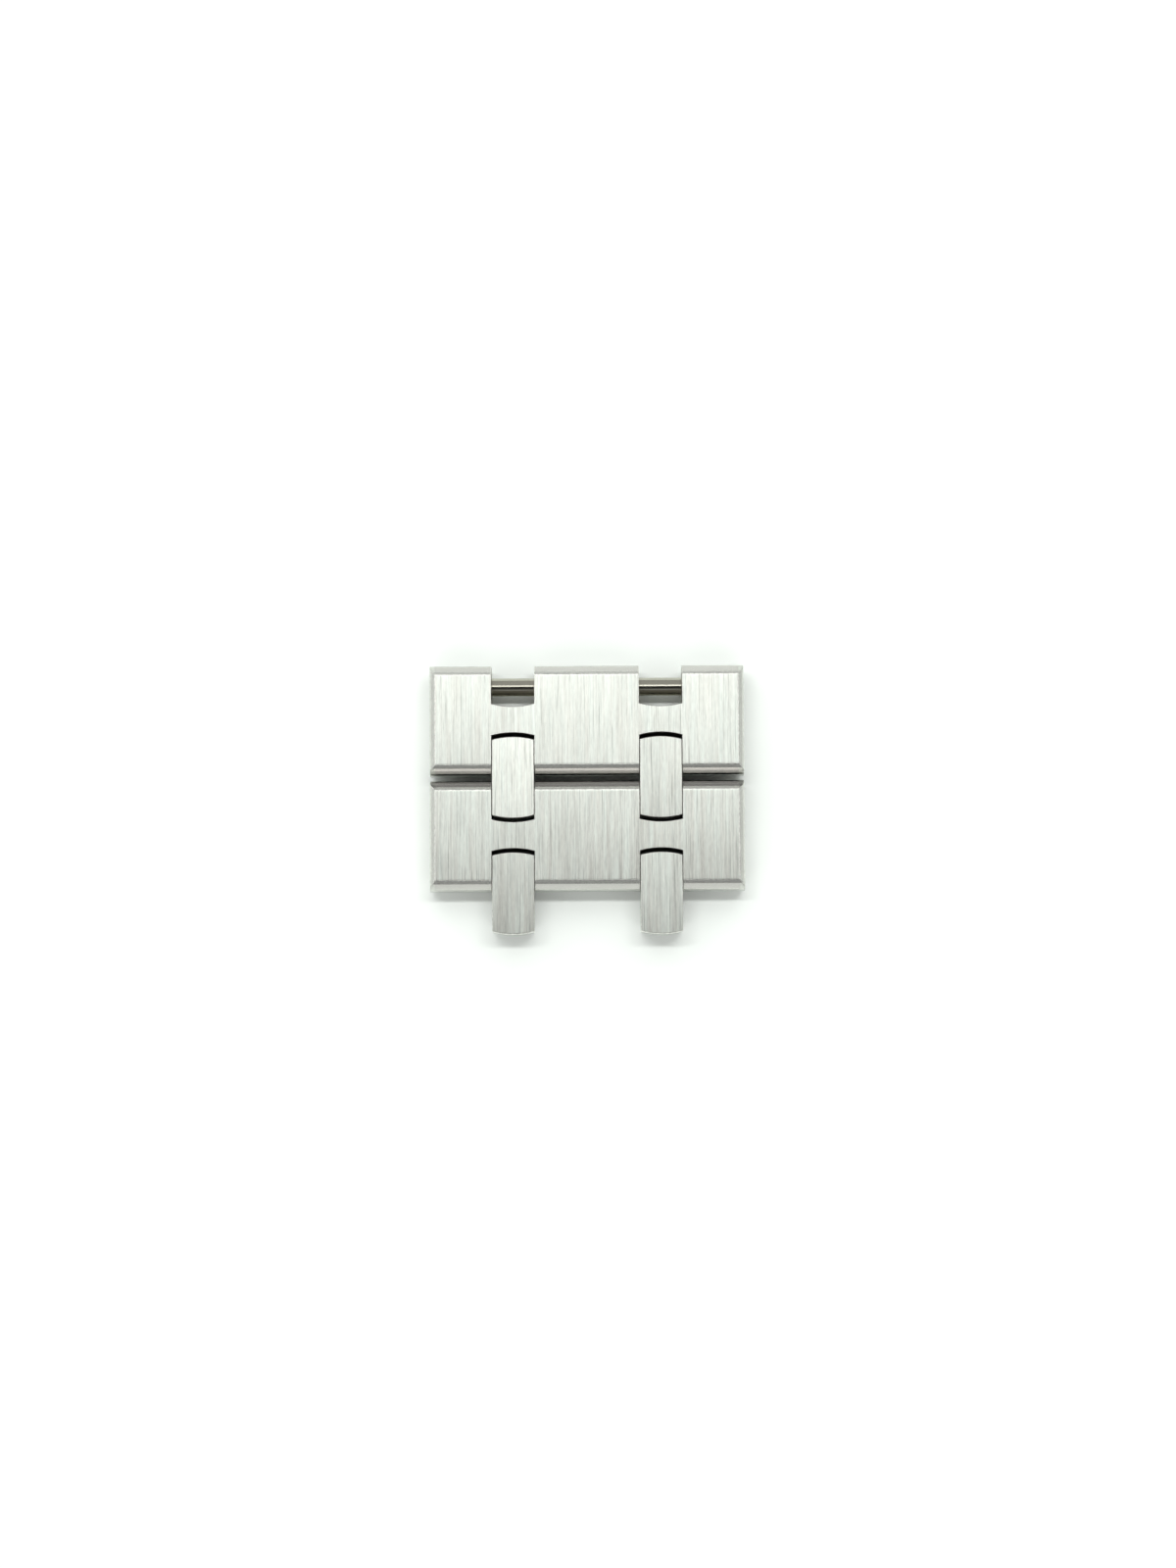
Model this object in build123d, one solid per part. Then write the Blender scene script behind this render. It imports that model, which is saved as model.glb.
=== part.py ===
from build123d import *
import math
import os

# A short run of steel watch bracelet, lying flat with its top face up, in millimetres.
# Two wide links are joined by a pair of connectors, and a second pair of connectors
# stands out in front, ready for the next wide link. Every connector turns on axles
# that cross the wide links from side to side. An axle is a tube with a slotted screw
# in each end.
# X runs across the bracelet, Y along it towards the back, and Z up. The origin is the
# middle of the whole width and length, on the surface that the bracelet lies on.

# Wide link: its size, its rounded ends and the gap to the next wide link
link_width = 19.0
link_length = 6.7
link_thickness = 2.9
link_gap = 0.3
end_chamfer = 0.22
end_bulge_depth = 0.36
side_chamfer = 0.3

# Connector: its size, and how far it reaches past the axle at each end
connector_width = 2.5
connector_spacing = 8.94
connector_reach = 1.08
connector_end_radius = 4.7
connector_edge_round = 0.12
connector_inset = 0.05

# Room around a connector in its notch, and the fold that it leaves free
notch_side_gap = 0.05
notch_end_gap = 0.24
fold_clearance = 0.05
fold_in_degrees = 25.0
fold_out_degrees = 8.0

# Axle: a tube through the wide link, and its fits
axle_radius = 0.55
axle_inset = 1.24
axle_tube_wall = 0.23
axle_tube_end_gap = 0.03
axle_tube_mouth_chamfer = 0.05
axle_seat_clearance = 0.02
connector_bore_clearance = 0.03
connector_bore_chamfer = 0.06

# Axle screw: its head lies sunk in the side of the wide link
screw_head_overhang = 0.2
screw_head_thickness = 0.4
screw_head_recess = 0.05
screw_head_clearance = 0.05
screw_head_chamfer = 0.06
screw_thread_clearance = 0.02
screw_shank_length = 2.2
screw_tip_chamfer = 0.08
screw_slot_width = 0.18
screw_slot_depth = 0.18
screw_slot_turn_degrees = 40.0

# How far a cut runs past the faces that it goes through
cut_overrun = 1.0

# Sizes that follow from the ones above
mid_height = link_thickness / 2
link_pitch = link_length + link_gap
link_axle_offset = link_length / 2 - axle_inset
connector_axle_offset = link_pitch / 2 - link_axle_offset
connector_half_length = connector_axle_offset + connector_reach
connector_thickness = link_thickness - 2 * connector_inset
notch_width = connector_width + 2 * notch_side_gap
notch_end_radius = connector_end_radius + notch_end_gap
notch_floor_offset = link_axle_offset - connector_reach - notch_end_gap
axle_tube_bore_radius = axle_radius - axle_tube_wall
screw_head_radius = axle_radius + screw_head_overhang
screw_pocket_radius = screw_head_radius + screw_head_clearance
screw_pocket_depth = screw_head_thickness + screw_head_recess
axle_seat_length = link_width - 2 * screw_pocket_depth
axle_tube_length = axle_seat_length - 2 * axle_tube_end_gap

# Places along the bracelet, from the middle of the whole length
link_to_connector = link_pitch / 2
whole_length = link_length / 2 + link_pitch + link_to_connector + connector_half_length
rear_link_y = whole_length / 2 - link_length / 2
front_link_y = rear_link_y - link_pitch
middle_connector_y = front_link_y + link_to_connector
front_connector_y = front_link_y - link_to_connector

# Turns a shape that is made along Z so that it lies along X
ACROSS = Rot(Y=90)

# Turns a shape about Z to face the other way, in degrees
HALF_TURN = 180


def side_rod(radius, length):
    """A round rod along X, with its middle at the origin."""
    return ACROSS * Cylinder(radius, length)


def arc_sagitta(radius, chord):
    """How far an arc rises over the chord that joins its ends."""
    return radius - math.sqrt(radius**2 - (chord / 2) ** 2)


def link_end_section():
    """The wide link seen from its side: flat faces, chamfers and rounded ends."""
    extreme = link_length / 2
    shoulder = extreme - end_bulge_depth
    flat = shoulder - end_chamfer
    half = link_thickness / 2
    shoulder_height = half - end_chamfer
    front_arc = ThreePointArc(
        (-shoulder, shoulder_height), (-extreme, 0), (-shoulder, -shoulder_height)
    )
    underside = Polyline(
        (-shoulder, -shoulder_height), (-flat, -half), (flat, -half), (shoulder, -shoulder_height)
    )
    rear_arc = ThreePointArc(
        (shoulder, -shoulder_height), (extreme, 0), (shoulder, shoulder_height)
    )
    top = Polyline(
        (shoulder, shoulder_height), (flat, half), (-flat, half), (-shoulder, shoulder_height)
    )
    return make_face([front_arc, underside, rear_arc, top])


def link_side_section():
    """The wide link seen along the bracelet: a slab with chamfered side edges."""
    slab = Rectangle(link_width, link_thickness)
    return chamfer(slab.vertices(), side_chamfer)


def link_blank():
    """The solid wide link before its notches and bores, with mitred chamfers."""
    along = extrude(Plane.YZ * link_end_section(), link_width, both=True)
    across = extrude(Plane.XZ * link_side_section(), link_length, both=True)
    return along & across


def notch_cutter():
    """The notch that takes a connector's end, open to the back, with an arc for a floor."""
    half_width = notch_width / 2
    floor = notch_floor_offset
    corner = floor + arc_sagitta(notch_end_radius, notch_width)
    mouth = link_length / 2 + cut_overrun
    floor_arc = ThreePointArc((-half_width, corner), (0, floor), (half_width, corner))
    walls = Polyline(
        (half_width, corner), (half_width, mouth), (-half_width, mouth), (-half_width, corner)
    )
    return extrude(make_face([floor_arc, walls]), link_thickness, both=True)


def axle_seat_cutter():
    """The bore for an axle tube, with a pocket for a screw head at each side of the link."""
    bore = side_rod(axle_radius + axle_seat_clearance, link_width + 2 * cut_overrun)
    pocket_length = screw_pocket_depth + cut_overrun
    pocket_x = link_width / 2 - screw_pocket_depth + pocket_length / 2
    pocket = side_rod(screw_pocket_radius, pocket_length)
    return bore + Pos(X=pocket_x) * pocket + Pos(X=-pocket_x) * pocket


def wide_link():
    """A wide link about its own centre: four notches and two axle seats."""
    link = link_blank()
    for end_turn in (0, HALF_TURN):
        for side in (-1, 1):
            link -= Rot(Z=end_turn) * Pos(X=side * connector_spacing / 2) * notch_cutter()
        link -= Rot(Z=end_turn) * Pos(Y=link_axle_offset) * axle_seat_cutter()
    return link


def connector_blank():
    """A bar with arc ends in plan, whose upper end edges are rounded over."""
    half_width = connector_width / 2
    end = connector_half_length
    corner = end - arc_sagitta(connector_end_radius, connector_width)
    rear_arc = ThreePointArc((-half_width, corner), (0, end), (half_width, corner))
    right = Line((half_width, corner), (half_width, -corner))
    front_arc = ThreePointArc((half_width, -corner), (0, -end), (-half_width, -corner))
    left = Line((-half_width, -corner), (-half_width, corner))
    bar = extrude(make_face([rear_arc, right, front_arc, left]), connector_thickness / 2, both=True)
    end_edges = bar.edges().filter_by(GeomType.CIRCLE).group_by(Axis.Z)[-1]
    return fillet(end_edges, connector_edge_round)


def fold_envelope(turn_degrees):
    """The space that the notch leaves a connector's rear end when it is folded by an angle."""
    radius = notch_end_radius - fold_clearance
    centre_y = connector_reach - connector_end_radius
    room = Pos(Y=centre_y) * Cylinder(radius, 2 * link_pitch)
    return Pos(Y=connector_axle_offset) * Rot(X=turn_degrees) * room


def connector_bore_cutter():
    """A bore for an axle, with a small chamfer at both mouths."""
    radius = axle_radius + connector_bore_clearance
    bore = side_rod(radius, connector_width + 2 * cut_overrun)
    flare = ACROSS * Cone(radius, radius + 2 * connector_bore_chamfer, 2 * connector_bore_chamfer)
    mouth_x = connector_width / 2
    return bore + Pos(X=mouth_x) * flare + Rot(Z=HALF_TURN) * Pos(X=mouth_x) * flare


def connector():
    """A connector about its own centre, relieved at both ends so that it can fold."""
    bar = connector_blank()
    for end_turn in (0, HALF_TURN):
        for turn_degrees in (-fold_in_degrees, fold_out_degrees):
            bar &= Rot(Z=end_turn) * fold_envelope(turn_degrees)
        bar -= Rot(Z=end_turn) * Pos(Y=connector_axle_offset) * connector_bore_cutter()
    return bar


def axle_tube():
    """An axle tube along X, about its own middle, with chamfered mouths."""
    tube = side_rod(axle_radius, axle_tube_length)
    tube -= side_rod(axle_tube_bore_radius, axle_tube_length + 2 * cut_overrun)
    end_edges = tube.edges().filter_by(GeomType.CIRCLE)
    return chamfer(end_edges, axle_tube_mouth_chamfer)


def axle_screw():
    """A slotted screw along X: its head's underside is at the origin and faces -X."""
    shank_radius = axle_tube_bore_radius - screw_thread_clearance
    shank = side_rod(shank_radius, screw_shank_length)
    tip_edge = shank.edges().filter_by(GeomType.CIRCLE).sort_by(Axis.X)[0]
    shank = chamfer(tip_edge, screw_tip_chamfer)
    head = side_rod(screw_head_radius, screw_head_thickness)
    rim_edge = head.edges().filter_by(GeomType.CIRCLE).sort_by(Axis.X)[-1]
    head = chamfer(rim_edge, screw_head_chamfer)
    screw = Pos(X=screw_head_thickness / 2) * head + Pos(X=-screw_shank_length / 2) * shank
    slot = Box(2 * screw_slot_depth, 2 * (screw_head_radius + cut_overrun), screw_slot_width)
    return screw - Pos(X=screw_head_thickness) * slot


def write_node(name, shape):
    """Write one sub-part to a file of its own name."""
    export_step(shape, f"parts/{name}.step")


def write_wide_link(name, link_y):
    """Write a wide link with the tubes and screws of its two axles."""
    write_node(f"wide_link_{name}", Pos(Y=link_y, Z=mid_height) * wide_link())
    slot_turn_degrees = 0
    for end, end_sign in (("front", -1), ("rear", 1)):
        place = Pos(Y=link_y + end_sign * link_axle_offset, Z=mid_height)
        write_node(f"{name}_link_{end}_axle_tube", place * axle_tube())
        for side, side_turn in (("left", HALF_TURN), ("right", 0)):
            slot_turn_degrees += screw_slot_turn_degrees
            seat = Rot(Z=side_turn) * Pos(X=axle_seat_length / 2)
            screw = place * seat * Rot(X=slot_turn_degrees) * axle_screw()
            write_node(f"{name}_link_{end}_axle_screw_{side}", screw)


def write_connectors(name, connector_y):
    """Write the left and right connectors of one pair."""
    for side, direction in (("left", -1), ("right", 1)):
        place = Pos(direction * connector_spacing / 2, connector_y, mid_height)
        write_node(f"{name}_connector_{side}", place * connector())


os.makedirs("parts", exist_ok=True)
write_wide_link("rear", rear_link_y)
write_wide_link("front", front_link_y)
write_connectors("middle", middle_connector_y)
write_connectors("front", front_connector_y)
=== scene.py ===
"""The looks of a steel watch bracelet section: wide links, connectors, axle tubes and screws.

Every length is in metres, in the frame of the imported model: X across the bracelet, Y along
it towards the back, Z up. A piece is worked out about its own centre as whole numpy arrays,
and then placed by its node's box, so that its object stays at the origin.
"""

from __future__ import annotations

import logging
import math
from dataclasses import dataclass, field
from enum import Enum

import bmesh
import bpy
import numpy as np
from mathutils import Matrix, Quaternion, Vector

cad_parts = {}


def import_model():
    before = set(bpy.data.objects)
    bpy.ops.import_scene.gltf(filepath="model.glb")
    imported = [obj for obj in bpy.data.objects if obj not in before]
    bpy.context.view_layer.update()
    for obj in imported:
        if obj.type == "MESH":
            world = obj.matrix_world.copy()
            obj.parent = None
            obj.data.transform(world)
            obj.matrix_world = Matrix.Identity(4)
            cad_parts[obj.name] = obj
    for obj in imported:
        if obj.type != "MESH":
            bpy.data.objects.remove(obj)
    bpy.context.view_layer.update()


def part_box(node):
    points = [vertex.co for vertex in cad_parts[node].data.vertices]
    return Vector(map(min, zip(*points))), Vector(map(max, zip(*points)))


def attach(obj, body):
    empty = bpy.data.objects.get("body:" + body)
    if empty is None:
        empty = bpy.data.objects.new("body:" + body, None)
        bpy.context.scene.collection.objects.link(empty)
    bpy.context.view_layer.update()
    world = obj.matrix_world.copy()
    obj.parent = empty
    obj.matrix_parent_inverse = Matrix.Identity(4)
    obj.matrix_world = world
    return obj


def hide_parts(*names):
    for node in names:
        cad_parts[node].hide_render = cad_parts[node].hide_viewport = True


LOG = logging.getLogger("bracelet")
MM = 0.001

# Points closer than this become one.
MERGE_DISTANCE = 1e-4 * MM

# The angles of a turned surface, and the decimals to which two angles are told apart.
BORE_STEPS = 72
BORE_ANGLES = np.linspace(-math.pi, math.pi, BORE_STEPS, endpoint=False)
ANGLE_DECIMALS = 9

# Width of the strip that keeps a flat face flat beside its rounded edge.
LIP = 0.07 * MM

# Faces that meet more sharply than this get a rounded edge between them.
SHARP_ANGLE = math.radians(12)

# Number of points up the middle of a side face, with its two ends.
MIDDLE_POINTS = 9

# The numbers of the axes in a point.
Y_AXIS, Z_AXIS = 1, 2

# The middle of a noise's range.
NOISE_MIDDLE = 0.5

# The sockets of Blender's Mix node, for two numbers and for two colours.
NUMBER_A, NUMBER_B = 2, 3
COLOUR_A, COLOUR_B, COLOUR_RESULT = 6, 7, 2

WHITE = (1, 1, 1, 1)


class Way(Enum):
    """The two ways along an axis: right or left along X, back or front along Y."""

    FORWARD = 1
    BACKWARD = -1


class Zone(Enum):
    """The finish of a face, by its place in a piece's list of materials.

    Flats are brushed. Facets and side faces are satin, and the small slopes beside the flats
    are chamfers. An edge is a rounded corner, a cut lies inside a notch, a bore or a slot, and
    a bow is the upright part of a wide link's end. Cuts and bows are darkened as painted shade,
    and edges are paler, partly for their worn polish and partly as a painted highlight.
    """

    BRUSHED = 0
    SATIN = 1
    CHAMFER = 2
    EDGE = 3
    CUT = 4
    BOW = 5


# Meshes


@dataclass
class MeshDraft:
    """Points and faces gathered from grids and rings, with a zone for each face."""

    points: list[np.ndarray] = field(default_factory=list)
    faces: list[np.ndarray] = field(default_factory=list)
    zones: list[np.ndarray] = field(default_factory=list)
    count: int = 0

    def _take(self, points: np.ndarray) -> int:
        """Keeps an array of points.

        Args:
            points: Array whose last axis holds the coordinates.

        Returns:
            The number of its first point in the mesh.
        """
        start = self.count
        flat = points.reshape(-1, 3)
        self.points.append(flat)
        self.count += len(flat)
        return start

    def grid(self, points: np.ndarray, zones: np.ndarray | Zone, close: bool = True) -> None:
        """Adds the quads between neighbouring rows and columns of a grid of points.

        Args:
            points: Array of rows, columns and coordinates.
            zones: One zone for all quads, or an array of zone values by column, or by row
                and column.
            close: Whether the last column joins the first.
        """
        rows, columns = points.shape[:2]
        number = self._take(points) + np.arange(rows * columns).reshape(rows, columns)
        if close:
            number = np.concatenate([number, number[:, :1]], axis=1)
        corners = [number[:-1, :-1], number[:-1, 1:], number[1:, 1:], number[1:, :-1]]
        self.faces.append(np.stack(corners, axis=-1).reshape(-1, 4))
        values = zones.value if isinstance(zones, Zone) else zones
        shape = (rows - 1, number.shape[1] - 1)
        self.zones.append(np.broadcast_to(values, shape).reshape(-1))

    def disc(self, loop: np.ndarray, zone: Zone) -> None:
        """Closes a loop with triangles that meet at the middle of its points."""
        centre = np.broadcast_to(loop.mean(axis=0), loop.shape)
        self.grid(np.stack([loop, centre]), zone)

    def zipper(self, loop_a: np.ndarray, loop_b: np.ndarray, angles: tuple, zone: Zone) -> None:
        """Joins two loops with different numbers of points, taken in the order of their angles.

        The angles of both loops are sorted as one list. Each entry gives one triangle, between
        the entry's own point, the point before it in its loop and the other loop's latest.

        Args:
            loop_a: Points of the first loop, by rising angle.
            loop_b: Points of the second loop, by rising angle.
            angles: The two loops' angles, as two rising arrays in the same full turn.
            zone: The finish of the triangles.
        """
        size_a, size_b = len(loop_a), len(loop_b)
        start_a, start_b = self._take(loop_a), self._take(loop_b)
        order = np.argsort(np.concatenate(angles), kind="stable")
        is_a = order < size_a
        seen_a = np.cumsum(is_a) - 1
        seen_b = np.cumsum(~is_a) - 1
        point_a, point_b = start_a + seen_a % size_a, start_b + seen_b % size_b
        before_a = start_a + (seen_a - 1) % size_a
        before_b = start_b + (seen_b - 1) % size_b
        from_a = np.stack([before_a, point_a, point_b], axis=-1)
        from_b = np.stack([point_a, point_b, before_b], axis=-1)
        faces = np.where(is_a[:, None], from_a, from_b)
        self.faces.append(faces)
        self.zones.append(np.full(len(faces), zone.value))

    def build(self, name: str, centre: Vector) -> bpy.types.Object:
        """Makes the object: points placed about the centre, doubles merged, faces outward.

        Args:
            name: Name of the object and its mesh.
            centre: Where the piece's own centre goes, in the frame.

        Returns:
            The new object, linked to the scene and sitting at the origin.
        """
        mesh = bpy.data.meshes.new(name)
        points = np.concatenate(self.points) + np.array(centre)
        corners = [face for group in self.faces for face in group.tolist()]
        mesh.from_pydata(points.tolist(), [], corners)
        mesh.polygons.foreach_set("material_index", np.concatenate(self.zones).astype(np.int32))
        mesh.polygons.foreach_set("use_smooth", np.ones(len(corners), bool))
        solid = bmesh.new()
        solid.from_mesh(mesh)
        bmesh.ops.remove_doubles(solid, verts=solid.verts, dist=MERGE_DISTANCE)
        bmesh.ops.dissolve_degenerate(solid, edges=solid.edges, dist=MERGE_DISTANCE)
        bmesh.ops.recalc_face_normals(solid, faces=solid.faces)
        solid.to_mesh(mesh)
        solid.free()
        lay_grain_map(mesh)
        piece = bpy.data.objects.new(name, mesh)
        bpy.context.scene.collection.objects.link(piece)
        return piece


def lay_grain_map(mesh: bpy.types.Mesh) -> None:
    """Gives a mesh a UV map whose V runs along the grain, in metres.

    Each face is laid flat along its normal's largest part: V is Y on faces that look along Z
    or X, and X on the end faces, which look along Y. U is the direction across it.

    Args:
        mesh: The mesh, with its final faces.
    """
    corner_count, face_count = len(mesh.loops), len(mesh.polygons)
    points = np.empty(len(mesh.vertices) * 3)
    mesh.vertices.foreach_get("co", points)
    normals = np.empty(face_count * 3)
    mesh.polygons.foreach_get("normal", normals)
    totals = np.empty(face_count, np.int32)
    mesh.polygons.foreach_get("loop_total", totals)
    vertex = np.empty(corner_count, np.int32)
    mesh.loops.foreach_get("vertex_index", vertex)
    x, y, z = points.reshape(-1, 3)[vertex].T
    facing = np.repeat(np.abs(normals.reshape(-1, 3)).argmax(axis=1), totals)
    along = np.where(facing == Y_AXIS, x, y)
    across = np.where(facing == Z_AXIS, x, z)
    layer = mesh.uv_layers.new(name="grain")
    layer.data.foreach_set("uv", np.stack([across, along], axis=-1).ravel())


def soften_edges(piece: bpy.types.Object, width: float, segments: int = 3) -> None:
    """Rounds a piece's sharp edges over, and keeps its flat faces flat.

    Args:
        piece: The object.
        width: How wide the rounded edge is.
        segments: Number of strips across the rounded edge.
    """
    bevel = piece.modifiers.new("worn_edges", "BEVEL")
    bevel.width = width
    bevel.segments = segments
    bevel.limit_method = "ANGLE"
    bevel.angle_limit = SHARP_ANGLE
    # The rounded faces take the edge finish, paled partly as a painted highlight.
    bevel.material = Zone.EDGE.value
    bevel.harden_normals = True
    bevel.use_clamp_overlap = False


def turned(profile: list[tuple[float, float]], centre_y: float = 0.0) -> np.ndarray:
    """A surface of revolution about an axis along X: each (x, radius) pair makes a full circle.

    A point is x, centre plus radius times the angle's cosine, and radius times its sine.

    Args:
        profile: The (x, radius) pairs.
        centre_y: The axis's place along Y.

    Returns:
        Grid of points, one row for each pair and one column for each angle.
    """
    x, radius = np.array(profile).T[:, :, None]
    across = np.broadcast_to(x, (len(profile), len(BORE_ANGLES)))
    y = centre_y + radius * np.cos(BORE_ANGLES)
    return np.stack([across, y, radius * np.sin(BORE_ANGLES)], axis=-1)


def mirrored_loop(half: np.ndarray) -> np.ndarray:
    """Joins half sections, from the top's middle to the bottom's, with their images in Y.

    Args:
        half: Array of rows, columns and (y, z), whose first and last columns have y = 0.

    Returns:
        Array of closed loops, with no point of the middle plane given twice.
    """
    image = half[:, -2:0:-1] * (-1, 1)
    return np.concatenate([half, image], axis=1)


def at_stations(x: np.ndarray, loops: np.ndarray) -> np.ndarray:
    """Puts each row of (y, z) points in the plane of its own x."""
    across = np.broadcast_to(x[:, None, None], (*loops.shape[:2], 1))
    return np.concatenate([across, loops], axis=-1)


def by_angle(y: np.ndarray, z: np.ndarray) -> tuple[np.ndarray, np.ndarray]:
    """Sorts points by their angle about an axis along X, and drops repeated angles.

    Args:
        y: The points' places along Y, from the axis.
        z: Their heights, from the axis.

    Returns:
        The rising angles, and the numbers of the points that they belong to.
    """
    return np.unique(np.round(np.arctan2(z, y), ANGLE_DECIMALS), return_index=True)


def middle_line(half_height: float) -> np.ndarray:
    """The (y, z) points up the middle of a side face, where y = 0, without its two ends."""
    heights = np.linspace(-1, 1, MIDDLE_POINTS)[1:-1] * half_height
    return np.stack([np.zeros(len(heights)), heights], axis=-1)


def bored_face(
    draft: MeshDraft,
    x: float,
    outline: np.ndarray,
    hole: tuple[float, float],
    way: Way,
    zone: Zone,
) -> None:
    """Adds a flat face across X with a round hole: the outline zipped to the hole's circle.

    Args:
        draft: The mesh that takes the face.
        x: The face's plane.
        outline: The (y, z) points of its edge, in any order, seen whole from the hole's axis.
        hole: The place of the hole's axis along Y, and the radius that the face ends at.
        way: Whether the face is at the back, as given, or is its image at the front.
        zone: The finish of the face.
    """
    axis_y, radius = hole
    angles, kept = by_angle(outline[:, 0] - axis_y, outline[:, 1])
    edge = at_stations(np.array([x]), outline[None, kept])[0]
    circle = turned([(x, radius)], axis_y)[0]
    image = (1, way.value, 1)
    draft.zipper(edge * image, circle * image, (angles, BORE_ANGLES), zone)


# Finishes


class NodeSheet:
    """A tree of shader nodes, added and joined one at a time."""

    def __init__(self, tree: bpy.types.NodeTree) -> None:
        """Starts on a tree, as Blender made it."""
        self.tree = tree

    def node(self, kind: str, inputs: dict, **settings: object) -> bpy.types.Node:
        """Adds a node.

        Args:
            kind: The node's type name.
            inputs: For each input, by name or number, a value or the socket that feeds it.
            **settings: The node's own settings.

        Returns:
            The new node.
        """
        node = self.tree.nodes.new(kind)
        for key, value in settings.items():
            setattr(node, key, value)
        for key, value in inputs.items():
            if isinstance(value, bpy.types.NodeSocket):
                self.tree.links.new(value, node.inputs[key])
            else:
                node.inputs[key].default_value = value
        return node

    def curve(self, source: bpy.types.NodeSocket, stops: tuple) -> bpy.types.NodeSocket:
        """Reads a source off a smooth line of stops.

        Args:
            source: What is read, from 0 to 1.
            stops: The line's (place, level) pairs, by rising place.

        Returns:
            The socket of the line's level at the source.
        """
        node = self.node("ShaderNodeValToRGB", {0: source})
        ramp = node.color_ramp
        ramp.interpolation = "EASE"
        for _ in stops[len(ramp.elements) :]:
            ramp.elements.new(position=1.0)
        for element, (place, level) in zip(ramp.elements, stops):
            element.position = place
            element.color = (level, level, level, 1)
        return node.outputs[0]

    def blend(
        self, share: bpy.types.NodeSocket, first: tuple, second: tuple
    ) -> bpy.types.NodeSocket:
        """Mixes two colours.

        Args:
            share: The share of the second colour.
            first: The first colour.
            second: The second colour.

        Returns:
            The socket of the mixed colour.
        """
        inputs = {0: share, COLOUR_A: (*first, 1), COLOUR_B: (*second, 1)}
        mixed = self.node("ShaderNodeMix", inputs, data_type="RGBA")
        return mixed.outputs[COLOUR_RESULT]

    def maths(
        self, operation: str, *values: float | bpy.types.NodeSocket
    ) -> bpy.types.NodeSocket:
        """Works out one operation on values or sockets, and returns the socket of its result."""
        made = self.node("ShaderNodeMath", dict(enumerate(values)), operation=operation)
        return made.outputs[0]


class FinishSheet(NodeSheet):
    """A material with the usual metal shader, and its nodes."""

    def __init__(self, name: str) -> None:
        """Starts an empty finish, with the shader, and the places of the piece's points.

        Args:
            name: The material's name.
        """
        self.material = bpy.data.materials.new(name)
        self.material.use_nodes = True
        super().__init__(self.material.node_tree)
        self.metal = self.tree.nodes["Principled BSDF"]
        self.place = self.tree.nodes.new("ShaderNodeTexCoord").outputs["Object"]

    def noise(self, size: tuple, seed: float, detail: float = 2.0) -> bpy.types.NodeSocket:
        """Smooth noise.

        Args:
            size: The size of its patches along each axis, in metres.
            seed: Where it is cut from the noise's fourth axis.
            detail: How many finer layers it has.

        Returns:
            The socket of the noise, from 0 to 1.
        """
        scale = tuple(1 / length for length in size)
        stretched = self.node("ShaderNodeMapping", {"Vector": self.place, "Scale": scale})
        inputs = {"Vector": stretched.outputs[0], "W": seed, "Scale": 1.0, "Detail": detail}
        made = self.node("ShaderNodeTexNoise", inputs, noise_dimensions="4D")
        return made.outputs["Fac"]

    def swing(
        self, source: bpy.types.NodeSocket, amount: float, base: float | bpy.types.NodeSocket
    ) -> bpy.types.NodeSocket:
        """The base plus the noise's swing about its middle, times an amount."""
        away = self.maths("SUBTRACT", source, NOISE_MIDDLE)
        return self.maths("MULTIPLY_ADD", away, amount, base)

    def feed(self, socket: bpy.types.NodeSocket, name: str) -> None:
        """Joins a socket to one of the metal shader's inputs."""
        self.tree.links.new(socket, self.metal.inputs[name])


class Layer(Enum):
    """How much a layer of a finish adds to the seed, so that it is unlike the first layer."""

    STRIPE = 3.7
    WEAR = 5.3
    BAND = 9.1
    SCRATCH = 14.9
    GRAIN = 21.3


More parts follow.
